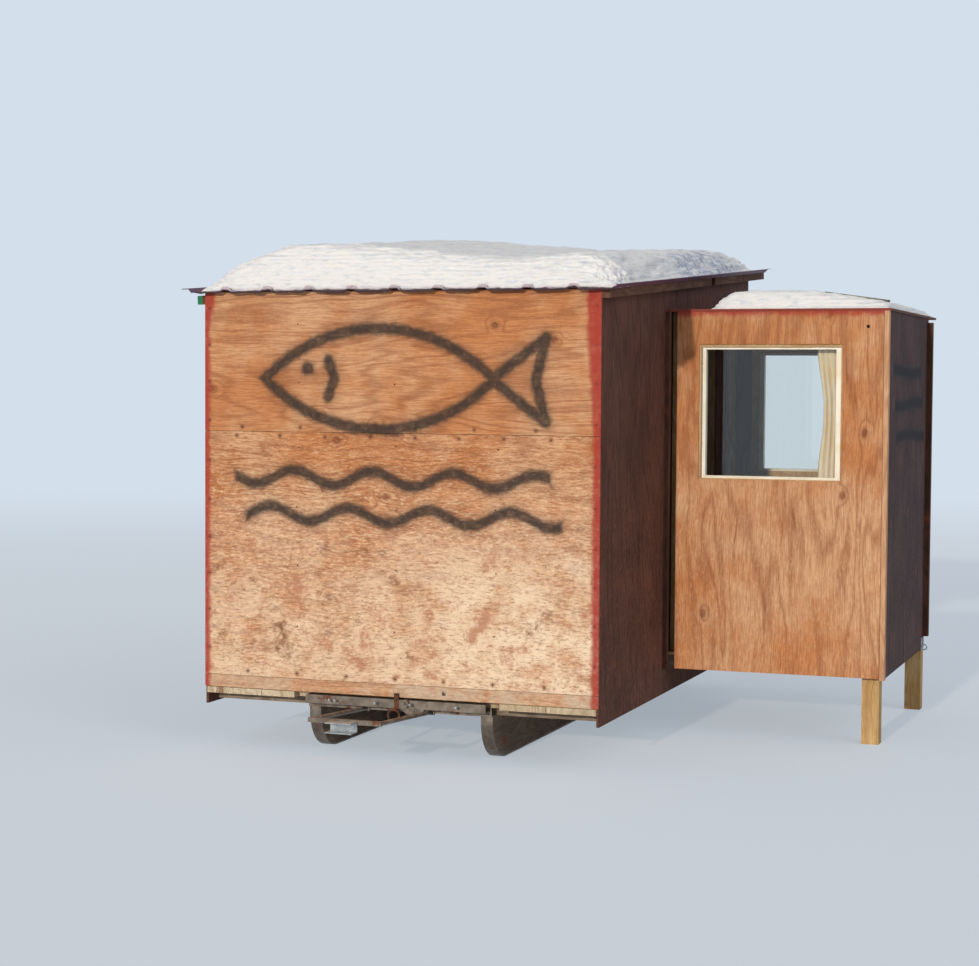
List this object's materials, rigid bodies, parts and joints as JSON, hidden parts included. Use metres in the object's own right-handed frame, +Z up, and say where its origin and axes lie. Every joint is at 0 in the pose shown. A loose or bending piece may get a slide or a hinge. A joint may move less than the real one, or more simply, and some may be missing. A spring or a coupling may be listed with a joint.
{
  "type": "ice fishing hut",
  "caption": "Plywood ice fishing hut with a ribbed mono-pitch roof on a towing sledge, and a smaller windowed annex on posts at its side; snow lies on both roofs.",
  "frame": {"origin": "on the ground under the middle of the hut's outline", "axes": "+Z up, +Y from the drawbar and the low eave towards the high back wall, +X from the main hut towards the annex"},
  "size_m": [3.3564, 3.978, 2.6737],
  "materials": {
    "ply_front": "weathered plywood, sun-bleached",
    "ply_dark": "weathered plywood, red-brown stain",
    "timber": "sawn softwood",
    "grey_timber": "greyed sawn softwood",
    "roof_steel": "plum coated profiled steel",
    "old_steel": "dull weathered steel",
    "zinc_steel": "galvanised",
    "rusty_steel": "brown rust",
    "frame_paint": "cream paint",
    "glass": "clear",
    "curtain_cloth": "pale yellow woven cotton",
    "snow": "settled snow"
  },
  "bodies": {
    "root": {"front_lower_sheet": "ply_front", "front_upper_sheet": "ply_front", "front_bottom_strip": "ply_front", "annex_front_panel": "ply_front", "annex_corner_board": "ply_front", "left_wall": "ply_dark", "right_wall_front": "ply_dark", "right_wall_back": "ply_dark", "right_wall_over_doorway": "ply_dark", "doorway_threshold": "ply_dark", "back_wall_left": "ply_dark", "back_wall_right": "ply_dark", "back_wall_over_door": "ply_dark", "back_door": "ply_dark", "annex_back_panel": "ply_dark", "annex_side_panel": "ply_dark", "annex_back_batten": "ply_dark", "junction_batten": "ply_dark", "annex_roof_deck": "ply_dark", "wall_studs": "timber", "wall_plates": "timber", "left_verge_batten": "timber", "right_verge_batten": "timber", "roof_purlins": "timber", "annex_posts": "timber", "curtain_rail": "timber", "floor_planks": "grey_timber", "floor_joists": "grey_timber", "runners": "grey_timber", "annex_floor": "grey_timber", "roof_lath": "grey_timber", "roof_sheet": "roof_steel", "runner_shoes": "old_steel", "sledge_cross_members": "old_steel", "drawbar": "old_steel", "door_hardware": "old_steel", "coupler": "zinc_steel", "tie_hook": "zinc_steel", "tow_ring": "rusty_steel", "front_window_frame": "frame_paint", "back_window_frame": "frame_paint", "window_glass": "glass", "curtain": "curtain_cloth", "main_roof_snow": "snow", "annex_roof_snow": "snow"}
  },
  "joints": []
}
